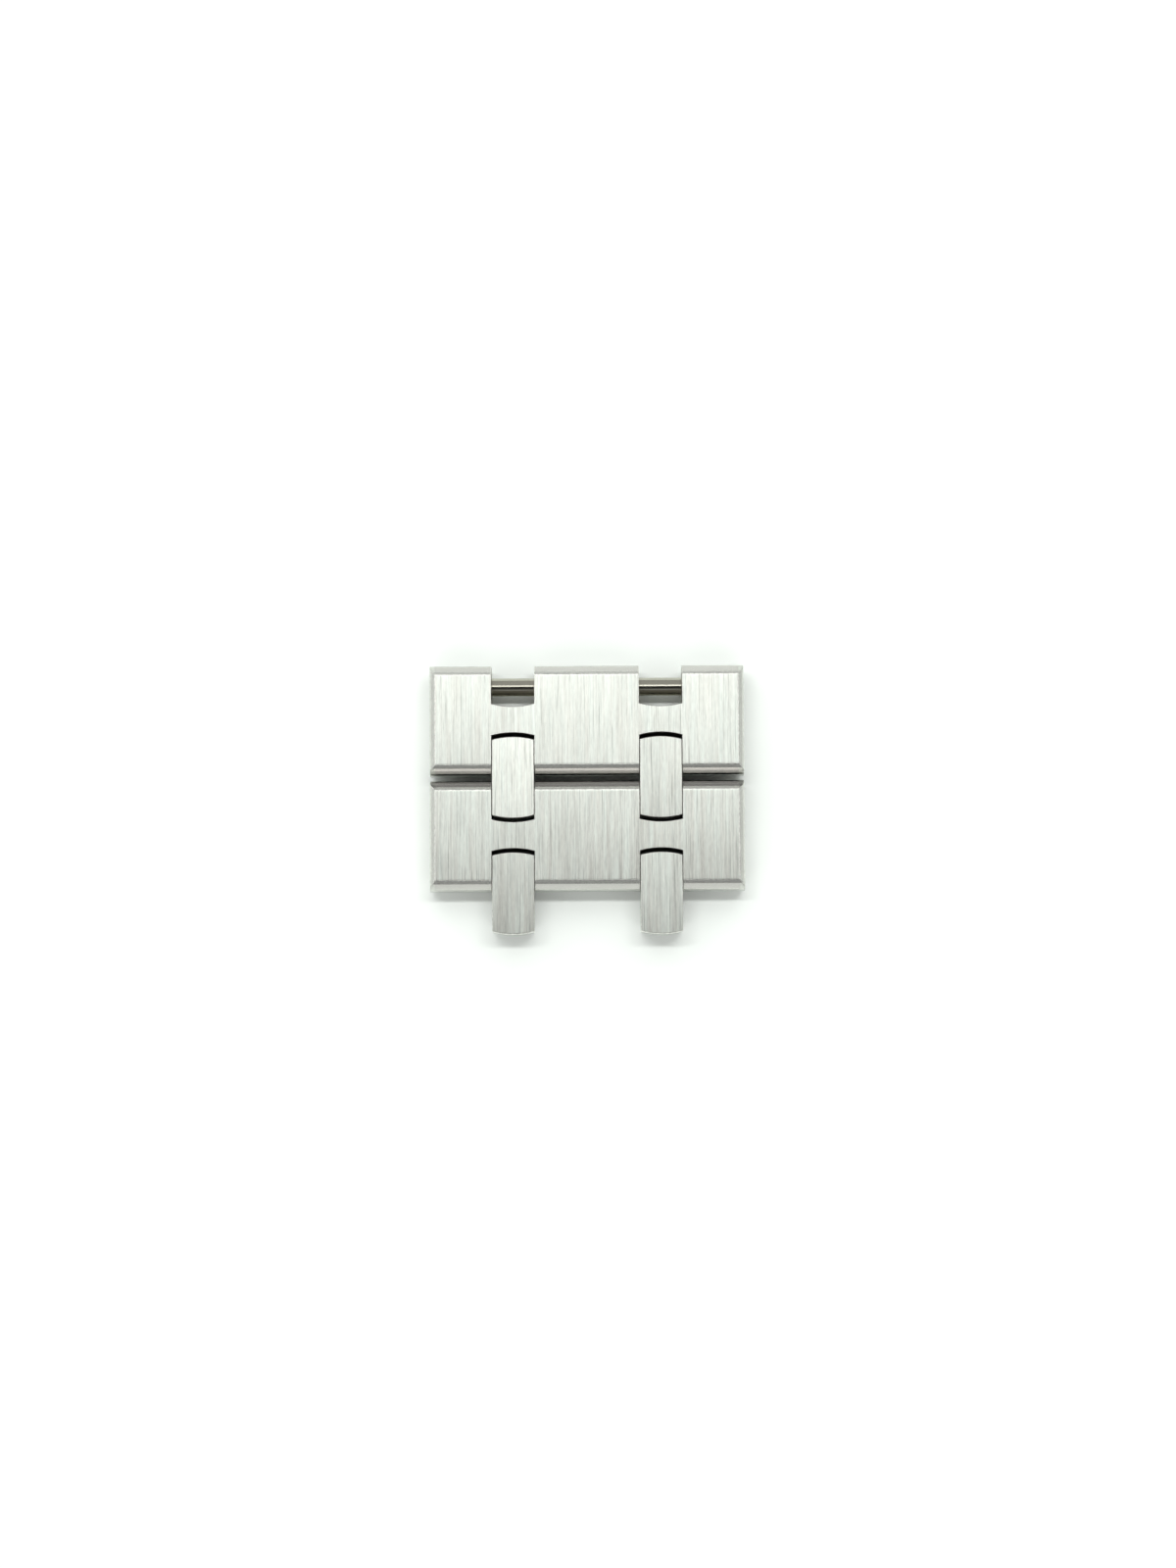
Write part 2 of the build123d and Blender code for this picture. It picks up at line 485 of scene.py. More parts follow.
@dataclass(frozen=True)
class BrushedSteel:
    """Steel brushed along Y: fine bright and dark streaks, with broader bands under them.

    Streaks, grain, stripes and bands each have the size of their patches and a swing, the
    share of the tone that they add or take. Scratches darken where their noise is high.
    """

    tone: float
    warm: tuple = (1.0, 0.985, 0.895)
    cool: tuple = (0.905, 1.0, 0.93)
    roughness: float = 0.34
    roughness_swing: float = 0.12
    anisotropy: float = 0.75
    streak: tuple = (0.08 * MM, 3.4 * MM, 0.08 * MM)
    streak_detail: float = 3.0
    streak_swing: float = 0.6
    grain: tuple = (0.06 * MM, 0.4 * MM, 0.06 * MM)
    grain_swing: float = 0.4
    stripe: tuple = (0.26 * MM, 6.0 * MM, 0.26 * MM)
    stripe_swing: float = 0.46
    band: tuple = (0.9 * MM, 7.0 * MM, 0.9 * MM)
    band_swing: float = 0.2
    scratch: tuple = (0.06 * MM, 3.4 * MM, 0.06 * MM)
    scratch_from: float = 0.565
    scratch_full: float = 0.74
    scratch_depth: float = 0.42
    groove_depth: float = 0.0012 * MM

    def make(self, name: str, seed: float) -> bpy.types.Material:
        """Makes the material.

        Args:
            name: The material's name.
            seed: Shifts the streaks, so that no piece repeats another.

        Returns:
            The finished material.
        """
        sheet = FinishSheet(name)
        streak = sheet.noise(self.streak, seed, self.streak_detail)
        grain = sheet.noise(self.grain, seed + Layer.GRAIN.value)
        stripe = sheet.noise(self.stripe, seed + Layer.STRIPE.value)
        band = sheet.noise(self.band, seed + Layer.BAND.value)
        layers = (
            (streak, self.streak_swing),
            (grain, self.grain_swing),
            (stripe, self.stripe_swing),
            (band, self.band_swing),
        )
        tone = self.tone
        for layer, swing in layers:
            tone = sheet.swing(layer, swing * self.tone, tone)
        scratch = sheet.noise(self.scratch, seed + Layer.SCRATCH.value)
        inputs = {0: scratch, 1: self.scratch_from, 2: self.scratch_full}
        inputs |= {3: 1.0, 4: 1.0 - self.scratch_depth}
        line = sheet.node("ShaderNodeMapRange", inputs).outputs[0]
        tone = sheet.maths("MULTIPLY", tone, line)
        inputs = {0: sheet.blend(stripe, self.warm, self.cool), "Scale": tone}
        colour = sheet.node("ShaderNodeVectorMath", inputs, operation="SCALE")
        sheet.feed(colour.outputs[0], "Base Color")
        sheet.feed(sheet.swing(stripe, self.roughness_swing, self.roughness), "Roughness")
        sheet.metal.inputs["Metallic"].default_value = 1.0
        sheet.metal.inputs["Anisotropic"].default_value = self.anisotropy
        tangent = sheet.node("ShaderNodeTangent", {}, direction_type="UV_MAP", uv_map="grain")
        sheet.feed(tangent.outputs[0], "Tangent")
        inputs = {"Height": streak, "Distance": self.groove_depth, "Strength": 1.0}
        bump = sheet.node("ShaderNodeBump", inputs)
        sheet.feed(bump.outputs[0], "Normal")
        return sheet.material


@dataclass(frozen=True)
class SatinSteel:
    """Smooth steel of the ends and chamfers: faintly clouded, with soft wear marks.

    Where it is less than fully metallic, the rest of it is matt.
    """

    colour: tuple = (0.56, 0.55, 0.522)
    roughness: float = 0.13
    roughness_swing: float = 0.12
    metallic: float = 1.0
    cloud: tuple = (1.1 * MM, 0.5 * MM, 0.35 * MM)
    cloud_swing: float = 0.16
    wear: tuple = (1.6 * MM, 0.06 * MM, 0.06 * MM)
    wear_swing: float = 0.1
    wear_depth: float = 0.0004 * MM

    def make(self, name: str, seed: float) -> bpy.types.Material:
        """Makes the material.

        Args:
            name: The material's name.
            seed: Shifts the clouds and wear marks.

        Returns:
            The finished material.
        """
        sheet = FinishSheet(name)
        cloud = sheet.noise(self.cloud, seed)
        wear = sheet.noise(self.wear, seed + Layer.WEAR.value)
        level = sheet.swing(wear, self.wear_swing, sheet.swing(cloud, self.cloud_swing, 1.0))
        inputs = {0: self.colour, "Scale": level}
        colour = sheet.node("ShaderNodeVectorMath", inputs, operation="SCALE")
        sheet.feed(colour.outputs[0], "Base Color")
        sheet.feed(sheet.swing(cloud, self.roughness_swing, self.roughness), "Roughness")
        sheet.metal.inputs["Metallic"].default_value = self.metallic
        inputs = {"Height": wear, "Distance": self.wear_depth, "Strength": 1.0}
        sheet.feed(sheet.node("ShaderNodeBump", inputs).outputs[0], "Normal")
        return sheet.material


@dataclass(frozen=True)
class Finishes:
    """The finishes that the pieces share, and a way to make the set of one piece."""

    satin: SatinSteel = SatinSteel(metallic=0.74)
    chamfer: SatinSteel = SatinSteel(
        colour=(0.6, 0.61, 0.57),
        roughness=0.2,
        cloud=(0.12 * MM, 0.5 * MM, 0.12 * MM),
        cloud_swing=0.4,
        metallic=0.85,
    )
    # Rounded edges are paler than the satin and speckled by their clouds: partly their worn
    # polish, partly a painted highlight and sparkle along them.
    edge: SatinSteel = SatinSteel(
        colour=(0.76, 0.77, 0.72),
        roughness=0.34,
        cloud=(0.16 * MM, 0.16 * MM, 0.16 * MM),
        cloud_swing=1.1,
    )
    # Cuts are darker than the satin: painted shade inside the notches, bores and screw slots,
    # over a rougher machined finish.
    cut: SatinSteel = SatinSteel(colour=(0.27, 0.26, 0.22), roughness=0.3)
    # The bows are darker than the satin facets of the same steel: painted shade for the dark gap
    # between the links and the shaded front end.
    bow: SatinSteel = SatinSteel(colour=(0.4, 0.395, 0.37), roughness=0.12)
    chrome: SatinSteel = SatinSteel(colour=(0.47, 0.46, 0.39), roughness=0.18)

    def dress_brushed(self, piece: bpy.types.Object, tone: float, seed: float) -> None:
        """Gives a piece brushed faces of the tone set for it, and the other finishes, by their
        zones.

        Args:
            piece: The object, whose mesh has the zones.
            tone: Brightness of the brushed faces, set per piece and partly painted light.
            seed: Shifts every pattern on the piece.
        """
        kinds = {
            "brushed": BrushedSteel(tone=tone),
            "satin": self.satin,
            "chamfer": self.chamfer,
            "edge": self.edge,
            "cut": self.cut,
            "bow": self.bow,
        }
        for kind, finish in kinds.items():
            piece.data.materials.append(finish.make(f"{kind}_{piece.name}", seed))

    def dress_chrome(self, piece: bpy.types.Object, seed: float) -> None:
        """Gives a piece the polished finish of the axles, and its cuts the darker cut finish,
        painted shade in the screw slot.

        Args:
            piece: The object, whose mesh has the zones.
            seed: Shifts both patterns.
        """
        chrome = self.chrome.make(f"chrome_{piece.name}", seed)
        cut = self.cut.make(f"cut_{piece.name}", seed)
        for zone in Zone:
            piece.data.materials.append(cut if zone is Zone.CUT else chrome)


def join_frame(piece: bpy.types.Object, node: str, body: str) -> None:
    """Lets a piece stand for its node and move with its body.

    Args:
        piece: The finished object.
        node: The node that it replaces.
        body: The body that it rides on.
    """
    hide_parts(node)
    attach(piece, body)
    LOG.info("%s stands for %s on %s", piece.name, node, body)


def middle_of(node: str) -> Vector:
    """The middle of a node's box."""
    low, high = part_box(node)
    return (low + high) / 2


# Links and connectors


@dataclass
class WideLink:
    """A wide link: bowed, chamfered ends, two notches at each end and two bored axle seats.

    The crown, the end's chamfer and its facet are falls along Y and in height. Each bow is a
    depth and a power. The side's profile has a drop from the top at each inset from the side.
    """

    node: str
    body: str
    tone: float
    seed: float
    half_width: float = 9.5 * MM
    half_length: float = 3.35 * MM
    half_height: float = 1.45 * MM
    crown: tuple = (0.07 * MM, 0.004 * MM)
    end_chamfer: tuple = (0.17 * MM, 0.153 * MM)
    end_facet: tuple = (0.25 * MM, 0.285 * MM)
    end_bow: tuple = (0.16 * MM, 5.0)
    under_bow: tuple = (0.21 * MM, 3.0)
    side_inset: tuple = tuple(v * MM for v in (0.43, 0.36, 0.3, 0.147, 0.08, 0.04, 0.015, 0.0))
    side_drop: tuple = tuple(v * MM for v in (0.0, 0.0, 0.004, 0.157, 0.22, 0.27, 0.32, 0.38))
    notch_middle: float = 4.47 * MM
    notch_half_width: float = 1.3 * MM
    notch_radius: float = 4.94 * MM
    notch_floor: float = 0.79 * MM
    axle_offset: float = 2.11 * MM
    bore_radius: float = 0.57 * MM
    pocket_radius: float = 0.8 * MM
    pocket_depth: float = 0.45 * MM
    edge_wear: float = 0.03 * MM
    end_steps: int = 16
    facet_steps: int = 4
    flat_steps: int = 7
    notch_steps: int = 14

    @property
    def rim_height(self) -> float:
        """Height of the top's rim, which lies a little lower than the flat top."""
        return self.half_height - self.crown[1]

    @property
    def shoulder(self) -> float:
        """Height at which the end's facet meets its chamfer."""
        return self.rim_height - self.end_chamfer[1]

    def end_heights(self) -> np.ndarray:
        """Heights of the end's columns, from the upper rim to the lower.

        Between the shoulders they are the shoulder's height times the sine of even angles.

        Returns:
            The falling heights.
        """
        share = np.sin(np.linspace(1, -1, self.end_steps + 1) * math.pi / 2)
        above = np.array([self.rim_height, self.shoulder + LIP / 2])
        return np.concatenate([above, self.shoulder * share, -above[::-1]])

    def end_y(self, z: np.ndarray) -> np.ndarray:
        """The end's place at a height: a bow, a facet and a chamfer, one beyond the other.

        The bow falls from the half length by its depth times a power of the share of the
        facet's foot height. The facet and the chamfer then fall evenly. Below the middle the
        bow is fuller, as room to fold, and the facet falls by that much less.

        Args:
            z: The heights.

        Returns:
            The places along Y.
        """
        foot = self.shoulder - self.end_facet[1]
        height = np.abs(z)
        depth, power = (np.where(z < 0, *pair) for pair in zip(self.under_bow, self.end_bow))
        bow = depth * (np.minimum(height, foot) / foot) ** power
        facet = self.end_bow[0] + self.end_facet[0] - depth
        facet = facet * np.clip((height - foot) / self.end_facet[1], 0, 1)
        chamfer = np.clip((height - self.shoulder) / self.end_chamfer[1], 0, 1)
        return self.half_length - bow - facet - self.end_chamfer[0] * chamfer

    def floor_y(self, x: np.ndarray) -> np.ndarray:
        """The notch floor's place: an arc about an upright axis, deepest at the notch middle."""
        aside = np.abs(x) - self.notch_middle
        return self.notch_floor + self.notch_radius - np.sqrt(self.notch_radius**2 - aside**2)

    def corner_y(self) -> float:
        """The notch floor's place at the notch's side walls."""
        edge = np.array(self.notch_middle + self.notch_half_width)
        return float(self.floor_y(edge))

    def half_section(self, x: np.ndarray, notched: bool) -> np.ndarray:
        """Half sections at stations: the end's columns, between columns on top and bottom.

        Heights are limited to the side chamfer, and in a notch no point passes its floor.

        Args:
            x: The stations.
            notched: Whether they lie in a notch.

        Returns:
            Array of stations, columns and (y, z).
        """
        inset = self.half_width - np.abs(x)
        drop = np.interp(inset, self.side_inset[::-1], self.side_drop[::-1])
        limit = (self.half_height - drop)[:, None]
        crown_y = float(self.end_y(np.array(self.rim_height))) - self.crown[0]
        flat_y = np.linspace(self.corner_y(), crown_y - LIP, self.flat_steps + 1)
        flat_y = np.array([0.0, *flat_y, crown_y])
        top = np.full(len(flat_y), self.half_height)
        heights = np.concatenate([top, self.end_heights(), -top])
        z = np.clip(heights, -limit, limit)
        y = self.end_y(z)
        y[:, : len(flat_y)] = flat_y
        y[:, -len(flat_y) :] = flat_y[::-1]
        if notched:
            y = np.minimum(y, self.floor_y(x)[:, None])
        return np.stack([y, z], axis=-1)

    def section_zones(self) -> np.ndarray:
        """The zone of each quad round a section: brushed flats, satin facets, and bows darkened
        as painted shade.

        Returns:
            Array of zone values, for both halves.
        """
        flat = [Zone.BRUSHED.value] * (self.flat_steps + 2)
        rim = [Zone.EDGE.value, Zone.CHAMFER.value, Zone.CHAMFER.value]
        facet = [Zone.SATIN.value] * self.facet_steps
        bow = [Zone.BOW.value] * (self.end_steps - 2 * self.facet_steps)
        half = np.array([*flat, *rim, *facet, *bow, *facet, *rim[::-1], *flat])
        return np.concatenate([half, half])

    def add_block(self, draft: MeshDraft, x: np.ndarray, notched: bool) -> None:
        """Adds the outer skin between the first and the last station.

        Past the crown's inset the flats are edge, and past the rim's all is chamfer.

        Args:
            draft: The mesh that takes the skin.
            x: The stations.
            notched: Whether they lie in a notch.
        """
        loops = mirrored_loop(self.half_section(x, notched))
        zones = np.tile(self.section_zones(), (len(x) - 1, 1))
        inset = self.half_width - np.abs(x[1:])
        crown, rim = self.side_inset[1:3]
        # Flats on the crown take the edge finish too, with its painted highlight.
        on_crown = (inset < crown - MERGE_DISTANCE)[:, None] & (zones == Zone.BRUSHED.value)
        zones[on_crown] = Zone.EDGE.value
        zones[inset < rim - MERGE_DISTANCE] = Zone.CHAMFER.value
        # Inside a notch every face but the flat top takes the cut finish, darkened as painted
        # shade.
        if notched:
            zones[zones != Zone.BRUSHED.value] = Zone.CUT.value
        draft.grid(at_stations(x, loops), zones)

    def add_notch_wall(self, draft: MeshDraft, x: float, way: Way) -> None:
        """Adds a notch's side wall: the end's outline and the floor's edge, round the bore.

        Args:
            draft: The mesh that takes the wall.
            x: The wall's plane.
            way: Whether the notch is at the back or the front.
        """
        rim = self.half_section(np.array([abs(x)]), False)[0, 1:-1]
        heights = self.end_heights()[1:-1]
        floor_edge = np.stack([np.full(len(heights), self.corner_y()), heights], axis=-1)
        outline = np.concatenate([rim, floor_edge])
        hole = (self.axle_offset, self.bore_radius + LIP)
        bored_face(draft, x, outline, hole, way, Zone.CUT)

    def add_side_face(self, draft: MeshDraft, x: float, way: Way) -> None:
        """Adds half of a side face, from the middle line to the end, round the screw pocket.

        Args:
            draft: The mesh that takes the face.
            x: The face's plane.
            way: Whether it is the back or the front half.
        """
        rim = self.half_section(np.array([abs(x)]), False)[0]
        outline = np.concatenate([rim, middle_line(self.half_height - self.side_drop[-1])])
        hole = (self.axle_offset, self.pocket_radius + LIP)
        bored_face(draft, x, outline, hole, way, Zone.SATIN)

    def add_bores(self, draft: MeshDraft, way: Way) -> None:
        """Adds an axle's bores: through the middle finger, and stepped in the outer ones.

        Args:
            draft: The mesh that takes the bores.
            way: Whether the axle is the back or the front one.
        """
        inner = self.notch_middle - self.notch_half_width
        outer = self.notch_middle + self.notch_half_width
        seat = self.half_width - self.pocket_depth
        narrow, wide = self.bore_radius, self.pocket_radius
        centre_y = way.value * self.axle_offset
        through = [
            (-inner, narrow + LIP),
            (-inner, narrow),
            (inner, narrow),
            (inner, narrow + LIP),
        ]
        stepped = [
            (outer, narrow + LIP),
            (outer, narrow),
            (seat, narrow),
            (seat, wide),
            (self.half_width, wide),
            (self.half_width, wide + LIP),
        ]
        draft.grid(turned(through, centre_y), Zone.CUT)
        for side in Way:
            profile = [(side.value * x, radius) for x, radius in stepped]
            draft.grid(turned(profile, centre_y), Zone.CUT)

    def build(self, finishes: Finishes) -> bpy.types.Object:
        """Builds the link, dresses it and joins it to its node and body.

        Args:
            finishes: The shared finishes.

        Returns:
            The finished object.
        """
        draft = MeshDraft()
        inner = self.notch_middle - self.notch_half_width
        outer = self.notch_middle + self.notch_half_width
        stations = np.array([outer, *(self.half_width - inset for inset in self.side_inset)])
        notch = np.linspace(inner, outer, self.notch_steps + 1)
        self.add_block(draft, np.array([-inner, inner]), False)
        for side in Way:
            self.add_block(draft, side.value * stations, False)
            self.add_block(draft, side.value * notch, True)
            for way in Way:
                self.add_notch_wall(draft, side.value * inner, way)
                self.add_notch_wall(draft, side.value * outer, way)
                self.add_side_face(draft, side.value * self.half_width, way)
        for way in Way:
            self.add_bores(draft, way)
        piece = draft.build(f"{self.node}_steel", middle_of(self.node))
        finishes.dress_brushed(piece, self.tone, self.seed)
        soften_edges(piece, self.edge_wear)
        join_frame(piece, self.node, self.body)
        return piece


@dataclass
class Connector:
    """A connector: a bar with arc ends, relieved underneath to fold, with two axle bores.

    The edge facet is a fall along Y and in height. The relief is an arc about an upright axis,
    tipped by the relief's angle, and the bores flare at their mouths.
    """

    node: str
    body: str
    tone: float
    seed: float
    half_width: float = 1.27 * MM
    half_length: float = 2.5 * MM
    half_height: float = 1.4 * MM
    end_radius: float = 4.7 * MM
    edge_facet: tuple = (0.05 * MM, 0.1 * MM)
    axle_offset: float = 1.39 * MM
    bore_radius: float = 0.58 * MM
    bore_flare: float = 0.06 * MM
    relief_radius: float = 4.89 * MM
    relief_centre: float = 3.62 * MM
    relief_angle: float = math.radians(25)
    edge_wear: float = 0.03 * MM
    stations: int = 15
    face_steps: int = 5
    flat_steps: int = 7

    def half_section(self, x: np.ndarray) -> np.ndarray:
        """Half sections at stations: top, edge facet, upright end, relief and underside.

        The end's reach at x is the half length less the end arc's fall there. The relief is
        the line on which y' cos + |z| sin equals the relief arc's reach, y' from the axle.

        Args:
            x: The stations.

        Returns:
            Array of stations, columns and (y, z).
        """
        top, corner = self.half_height, self.half_height - self.edge_facet[1]
        reach = self.half_length - self.end_radius + np.sqrt(self.end_radius**2 - x**2)
        room = np.sqrt(self.relief_radius**2 - x**2) - self.relief_centre
        sine, cosine = math.sin(self.relief_angle), math.cos(self.relief_angle)
        relief_top = -(room - (reach - self.axle_offset) * cosine) / sine
        relief_foot = self.axle_offset + (room - top * sine) / cosine
        reach, relief_top, relief_foot = (v[:, None] for v in (reach, relief_top, relief_foot))
        share = np.linspace(0, 1, self.face_steps)
        flat = np.linspace(0, 1, self.flat_steps + 1)
        level = np.full((len(reach), len(flat)), top)
        edge = reach - self.edge_facet[0]
        y = [(edge - LIP) * flat, edge, reach + 0 * share, relief_foot * flat[::-1]]
        z = [level, level[:, :1], corner + (relief_top - corner) * share, -level]
        return np.stack([np.concatenate(y, axis=1), np.concatenate(z, axis=1)], axis=-1)

    def section_zones(self) -> np.ndarray:
        """The zone of each quad round a section: brushed flats, edges paled partly as a painted
        highlight, satin ends.

        Returns:
            Array of zone values, for both halves.
        """
        end = [Zone.SATIN.value] * self.face_steps
        flat = [Zone.BRUSHED.value] * self.flat_steps
        half = [*flat, Zone.BRUSHED.value, Zone.EDGE.value, *end, *flat]
        return np.array(half + half[::-1])

    def build(self, finishes: Finishes) -> bpy.types.Object:
        """Builds the connector, dresses it and joins it to its node and body.

        Args:
            finishes: The shared finishes.

        Returns:
            The finished object.
        """
        draft = MeshDraft()
        x = np.linspace(-self.half_width, self.half_width, self.stations)
        half = self.half_section(x)
        draft.grid(at_stations(x, mirrored_loop(half)), self.section_zones())
        outline = np.concatenate([half[0], middle_line(self.half_height)])
        mouth = self.bore_radius + self.bore_flare
        neck = self.half_width - self.bore_flare
        bore = [(-self.half_width, mouth), (-neck, self.bore_radius)]
        bore = [(-self.half_width, mouth + LIP), *bore]
        bore += [(-x, radius) for x, radius in bore[::-1]]
        for way in Way:
            draft.grid(turned(bore, way.value * self.axle_offset), Zone.CUT)
            for side in Way:
                plane = side.value * self.half_width
                hole = (self.axle_offset, mouth + LIP)
                bored_face(draft, plane, outline, hole, way, Zone.SATIN)
        piece = draft.build(f"{self.node}_steel", middle_of(self.node))
        finishes.dress_brushed(piece, self.tone, self.seed)
        soften_edges(piece, self.edge_wear)
        join_frame(piece, self.node, self.body)
        return piece


# Axles


@dataclass
class AxleTube:
    """The tube of an axle, with chamfered mouths."""

    half_length: float = 9.02 * MM
    radius: float = 0.55 * MM
    bore_radius: float = 0.32 * MM
    mouth_chamfer: float = 0.05 * MM
    edge_wear: float = 0.01 * MM

    def build(self, node: str, body: str, seed: float, finishes: Finishes) -> None:
        """Builds the tube by turning a closed profile, dresses it and joins it to its node.

        Args:
            node: The node that it stands for.
            body: The body that it rides on.
            seed: Shifts the finish's pattern.
            finishes: The shared finishes.
        """
        chamfer, end = self.mouth_chamfer, self.half_length
        profile = [
            (end, self.bore_radius + chamfer),
            (end, self.radius - chamfer),
            (end - chamfer, self.radius),
            (-end + chamfer, self.radius),
            (-end, self.radius - chamfer),
            (-end, self.bore_radius + chamfer),
            (-end + chamfer, self.bore_radius),
            (end - chamfer, self.bore_radius),
        ]
        draft = MeshDraft()
        draft.grid(turned([*profile, profile[0]]), Zone.SATIN)
        piece = draft.build(f"{node}_steel", middle_of(node))
        finishes.dress_chrome(piece, seed)
        soften_edges(piece, self.edge_wear, segments=2)
        join_frame(piece, node, body)


@dataclass
class AxleScrew:
    """A slotted screw: a chamfered head with a straight slot, and a threaded shank."""

    head_radius: float = 0.75 * MM
    head_thickness: float = 0.4 * MM
    rim_chamfer: float = 0.06 * MM
    slot_half_width: float = 0.09 * MM
    slot_depth: float = 0.18 * MM
    shank_radius: float = 0.3 * MM
    shank_length: float = 2.2 * MM
    thread_pitch: float = 0.16 * MM
    thread_depth: float = 0.05 * MM
    tip_chamfer: float = 0.08 * MM
    edge_wear: float = 0.012 * MM
    rows_a_pitch: int = 8
    head_steps: int = 14

    def head_rows(self) -> np.ndarray:
        """Places of the head's chords, across its slot: the radius times sines of even angles.

        Returns:
            The rising places, from rim to rim, with both edges of the slot.
        """
        start = math.asin(self.slot_half_width / self.head_radius)
        rise = self.head_radius * np.sin(np.linspace(start, math.pi / 2, self.head_steps))
        return np.concatenate([-rise[::-1], rise])

    def add_head(self, draft: MeshDraft) -> np.ndarray:
        """Adds the head's outer side: a profile along each chord, cut off at the slot's floor.

        A chord at u reaches v = the root of the radius squared less u squared, on the rim and
        on the flat top, and where the chord misses the flat top its middle lies on the rim's
        chamfer.

        Args:
            draft: The mesh that takes the head.

        Returns:
            The loop of points round the head's underside, by rising angle.
        """
        u = self.head_rows()
        middle = len(u) // 2
        u = np.concatenate([u[:middle], u[middle - 1 : middle + 1], u[middle:]])
        in_slot = np.zeros(len(u), bool)
        in_slot[middle : middle + 2] = True
        flat_radius = self.head_radius - self.rim_chamfer
        rim_v = np.sqrt(np.maximum(self.head_radius**2 - u**2, 0))
        flat_v = np.sqrt(np.maximum(flat_radius**2 - u**2, 0))
        outer = self.head_thickness
        fall = np.maximum(np.abs(u) - flat_radius, 0)
        v = np.stack([-rim_v, -rim_v, -flat_v, 0 * u, flat_v, rim_v, rim_v], axis=1)
        foot, rim, flat = 0 * u, 0 * u + outer - self.rim_chamfer, outer - fall
        x = np.stack([foot, rim, flat, flat, flat, rim, foot], axis=1)
        x[in_slot] = np.minimum(x[in_slot], outer - self.slot_depth)
        y = np.broadcast_to(u[:, None], v.shape)
        zones = np.full((len(u) - 1, 1), Zone.SATIN.value)
        zones[middle - 1 : middle + 2] = Zone.CUT.value
        draft.grid(np.stack([x, y, v], axis=-1), zones, close=False)
        rows = self.head_rows()
        reach = np.sqrt(np.maximum(self.head_radius**2 - rows**2, 0))
        loop = np.concatenate([np.stack([rows, reach], -1), np.stack([rows, -reach], -1)])
        return np.concatenate([np.zeros((len(loop), 1)), loop], axis=1)

    def shank_rows(self) -> np.ndarray:
        """The shank's surface: the radius falls by a wave of the place along the helix.

        The wave is the distance of x / pitch - angle / turn from a whole number, doubled, and
        it fades in below the head and out above the tip.

        Returns:
            Grid of points, from the head to the tip.
        """
        count = int(self.rows_a_pitch * self.shank_length / self.thread_pitch)
        depth = np.linspace(0, self.shank_length - self.tip_chamfer, count)[:, None]
        phase = depth / self.thread_pitch - BORE_ANGLES / (2 * math.pi)
        wave = 2 * np.abs(phase - np.round(phase))
        from_ends = np.minimum(depth, self.shank_length - self.tip_chamfer - depth)
        fade = np.clip(from_ends / self.thread_pitch, 0, 1)
        radius = self.shank_radius - self.thread_depth * fade * wave
        y, z = radius * np.cos(BORE_ANGLES), radius * np.sin(BORE_ANGLES)
        return np.stack([np.broadcast_to(-depth, y.shape), y, z], axis=-1)

    def build(
        self, node: str, body: str, side: Way, turn: float, seed: float, finishes: Finishes
    ) -> None:
        """Builds the screw, turns its slot about X, and points it to its side.

        Args:
            node: The node that it stands for.
            body: The body that it rides on.
            side: The side of the bracelet that its head is on.
            turn: The slot's turn, in radians, before the side's half turn about Z.
            seed: Shifts the finish's pattern.
            finishes: The shared finishes.
        """
        draft = MeshDraft()
        loop = self.add_head(draft)
        angles, kept = by_angle(loop[:, 1], loop[:, 2])
        shank = self.shank_rows()
        draft.zipper(loop[kept], shank[0], (angles, BORE_ANGLES), Zone.SATIN)
        tip = turned([(-self.shank_length, self.shank_radius - self.tip_chamfer)])
        draft.grid(np.concatenate([shank, tip]), Zone.SATIN)
        draft.disc(tip[0], Zone.SATIN)
        cosine, sine = math.cos(turn), math.sin(turn)
        spin = np.array([[1, 0, 0], [0, cosine, -sine], [0, sine, cosine]])
        half_turn = np.array([side.value, side.value, 1])
        draft.points = [points @ spin.T * half_turn for points in draft.points]
        low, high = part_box(node)
        under_head = (high.x if side is Way.FORWARD else low.x) - side.value * self.head_thickness
        centre = middle_of(node)
        piece = draft.build(f"{node}_steel", Vector((under_head, centre.y, centre.z)))
        finishes.dress_chrome(piece, seed)
        soften_edges(piece, self.edge_wear, segments=2)
        join_frame(piece, node, body)


@dataclass
class AxleSet:
    """One link's two axles: a tube each, and a screw in each of its ends."""

    link: str
    turn_step: float = math.radians(40)
    tube: AxleTube = field(default_factory=AxleTube)
    screw: AxleScrew = field(default_factory=AxleScrew)

    def build(self, finishes: Finishes) -> None:
        """Builds the front axle and then the rear one, each slot turned further than the last.

        The slot's turn is also the seed of the piece's pattern.

        Args:
            finishes: The shared finishes.
        """
        body = f"{self.link}_link"
        turn = 0.0
        for end in ("front", "rear"):
            axle = f"{self.link}_link_{end}_axle"
            self.tube.build(f"{axle}_tube", body, turn, finishes)
            for side, word in ((Way.BACKWARD, "left"), (Way.FORWARD, "right")):
                turn += self.turn_step
                self.screw.build(f"{axle}_screw_{word}", body, side, turn, turn, finishes)


# Studio


